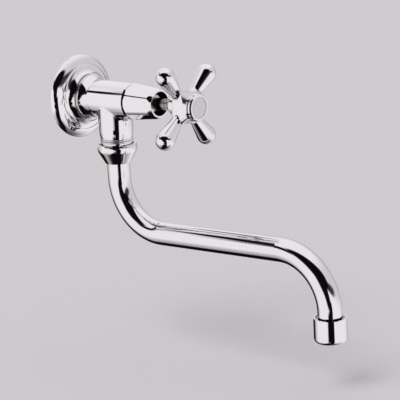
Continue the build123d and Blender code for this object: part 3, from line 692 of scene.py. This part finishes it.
# azimuth is counted from the room side towards the right, as the camera's own is; square 2 is an oval
# and more is boxier, edge is the softness as a share of the half size, and depth 1 is black
tent = {
    "white": (0.930, 0.897, 0.920, 1.0),
    "black": (0.004, 0.003, 0.004, 1.0),
    "gaps": {
        "besideCamera": {"at": (-41.5, -22.0), "half": (14.0, 24.0), "tilt": 0.0, "edge": 0.12,
                         "square": 6.0, "depth": 1.0},
        "aboveLens": {"at": (-53.5, 20.0), "half": (20.5, 32.0), "tilt": 0.0, "edge": 0.12,
                      "square": 2.5, "depth": 1.0},
        "underCamera": {"at": (-54.0, -19.5), "half": (16.5, 6.0), "tilt": 0.0, "edge": 0.25,
                        "square": 2.5, "depth": 1.0},
        "overCamera": {"at": (-62.0, 39.0), "half": (62.0, 25.5), "tilt": 0.0, "edge": 0.12,
                       "square": 2.0, "depth": 1.0},
        "leftDrape": {"at": (-68.0, 15.0), "half": (16.0, 14.0), "tilt": 0.0, "edge": 0.25,
                      "square": 2.0, "depth": 0.95},
        "leftTail": {"at": (-139.0, 35.5), "half": (22.0, 3.4), "tilt": -0.53, "edge": 0.3,
                     "square": 2.0, "depth": 1.0},
        "leftCorner": {"at": (-125.0, 28.0), "half": (13.5, 8.5), "tilt": -0.3, "edge": 0.25,
                       "square": 2.0, "depth": 1.0},
        "leftSlit": {"at": (-144.5, 31.4), "half": (4.0, 2.2), "tilt": -1.13, "edge": 0.2,
                     "square": 2.0, "depth": 1.0},
        "rightTail": {"at": (149.5, 41.0), "half": (6.0, 2.0), "tilt": 0.6, "edge": 0.3,
                      "square": 2.0, "depth": 0.85},
        "rightSeam": {"at": (-4.0, 21.0), "half": (32.0, 10.0), "tilt": -0.2, "edge": 0.4,
                      "square": 2.0, "depth": 0.95},
        "frontFloor": {"at": (-62.0, -70.0), "half": (58.0, 43.0), "tilt": 0.0, "edge": 0.15,
                       "square": 1.3, "depth": 1.0},
        "wallFloor": {"at": (158.0, -37.0), "half": (35.0, 28.0), "tilt": 0.0, "edge": 0.25,
                      "square": 2.0, "depth": 1.0},
        "wallBelow": {"at": (-175.0, -62.0), "half": (24.0, 14.0), "tilt": 0.0, "edge": 0.3,
                      "square": 2.0, "depth": 0.97},
        "leftBelow": {"at": (-145.0, -80.0), "half": (60.0, 24.0), "tilt": 0.0, "edge": 0.2,
                      "square": 3.0, "depth": 0.95},
        # so wide that it runs all the way round
        "below": {"at": (0.0, -90.0), "half": (4000.0, 35.0), "tilt": 0.0, "edge": 0.55,
                  "square": 2.0, "depth": 0.88},
        # the rest are panels in a grey shade
        "leftLow": {"at": (-140.0, -50.0), "half": (45.0, 18.0), "tilt": 0.0, "edge": 0.5,
                    "square": 2.0, "depth": 0.4},
        "leftFar": {"at": (-175.0, 0.0), "half": (20.0, 40.0), "tilt": 0.0, "edge": 0.6,
                    "square": 2.0, "depth": 0.35},
        "upperRight": {"at": (60.0, 18.0), "half": (75.0, 28.0), "tilt": -0.35, "edge": 0.6,
                       "square": 2.0, "depth": 0.28},
        "rightEdge": {"at": (112.0, -12.0), "half": (25.0, 30.0), "tilt": 0.0, "edge": 0.6,
                      "square": 2.0, "depth": 0.4},
    },
}


def makeWorld():
    world = bpy.data.worlds.new("lightTent")
    bpy.context.scene.world = world
    world.use_nodes = True
    tree = world.node_tree
    backdrop = tree.nodes["Background"]
    tentGap = makeGapGroup()
    way = addNode(tree, "ShaderNodeTexCoord").outputs["Generated"]
    parts = addNode(tree, "ShaderNodeSeparateXYZ", {0: way}).outputs
    outward = addMath(tree, "MULTIPLY", parts["Y"], -1.0)
    perRadian = math.degrees(1.0)
    azimuth = addMath(tree, "MULTIPLY", addMath(tree, "ARCTAN2", parts["X"], outward), perRadian)
    elevation = addMath(tree, "MULTIPLY", addMath(tree, "ARCSINE", parts["Z"]), perRadian)
    level = 1.0
    for gap in tent["gaps"].values():
        mask = placeGroup(tree, tentGap, {
            "Azimuth": azimuth, "Elevation": elevation,
            "Centre Azimuth": gap["at"][0], "Centre Elevation": gap["at"][1],
            "Half Width": gap["half"][0], "Half Height": gap["half"][1],
            "Tilt": gap["tilt"], "Edge": gap["edge"], "Squareness": gap["square"]})["Mask"]
        panel = addMath(tree, "SUBTRACT", 1.0, addMath(tree, "MULTIPLY", mask, gap["depth"]))
        level = addMath(tree, "MULTIPLY", level, panel)
    # the chrome mirrors the tent, matt pieces are lit by an even sky, and the camera sees pale grey
    mirrored = mixColours(tree, level, tent["black"], tent["white"])
    sky = (stage["skyLevel"],) * 3 + (1.0,)
    rays = addNode(tree, "ShaderNodeLightPath").outputs
    light = mixColours(tree, rays["Is Glossy Ray"], sky, mirrored)
    shown = mixColours(tree, rays["Is Camera Ray"], light, paleGrey)
    tree.links.new(shown, backdrop.inputs["Color"])
    backdrop.inputs["Strength"].default_value = 1.0


def aimed(azimuth, elevation):
    a, e = math.radians(azimuth), math.radians(elevation)
    return Vector((math.sin(a) * math.cos(e), -math.cos(a) * math.cos(e), math.sin(e)))


def makeSun():
    lamp = bpy.data.lights.new("softSun", "SUN")
    lamp.angle = math.radians(stage["sunSpread"])
    towards = aimed(stage["sunAzimuth"], stage["sunElevation"])
    lamp.energy = stage["sunLevel"] * math.pi / towards.z
    holder = linkObject("softSun", lamp)
    holder.rotation_euler = towards.to_track_quat("Z", "Y").to_euler()
    holder.visible_glossy = False


makeFloor()
makeWorld()
makeSun()
print("floor, light tent and lamp ready")


# Camera at the photograph's angle

view = {
    "azimuth": -48.741,
    "elevation": 13.874,
    "roll": -3.249,
    "distance": 1.22506,
    "target": (0.0, -0.11923, -0.07084),
    "focalPixels": 1627.8,
    "framePixels": 400,
    "sensor": 36.0,
    "clipStart": 0.01,
    "clipEnd": 60.0,
}


def makeCamera():
    around = math.radians(view["azimuth"])
    back = aimed(view["azimuth"], view["elevation"])
    level = Vector((math.cos(around), math.sin(around), 0.0))
    upright = back.cross(level)
    roll = math.radians(view["roll"])
    right = level * math.cos(roll) + upright * math.sin(roll)
    up = back.cross(right)
    place = Vector(view["target"]) + back * view["distance"]
    lens = bpy.data.cameras.new("photoCamera")
    lens.sensor_width = view["sensor"]
    lens.lens = view["focalPixels"] / view["framePixels"] * view["sensor"]
    lens.clip_start = view["clipStart"]
    lens.clip_end = view["clipEnd"]
    holder = linkObject("photoCamera", lens)
    turn = Matrix((right, up, back)).transposed().to_4x4()
    holder.matrix_world = Matrix.Translation(place) @ turn
    bpy.context.scene.camera = holder


makeCamera()
bpy.context.scene.view_settings.view_transform = "Standard"
print("camera ready")
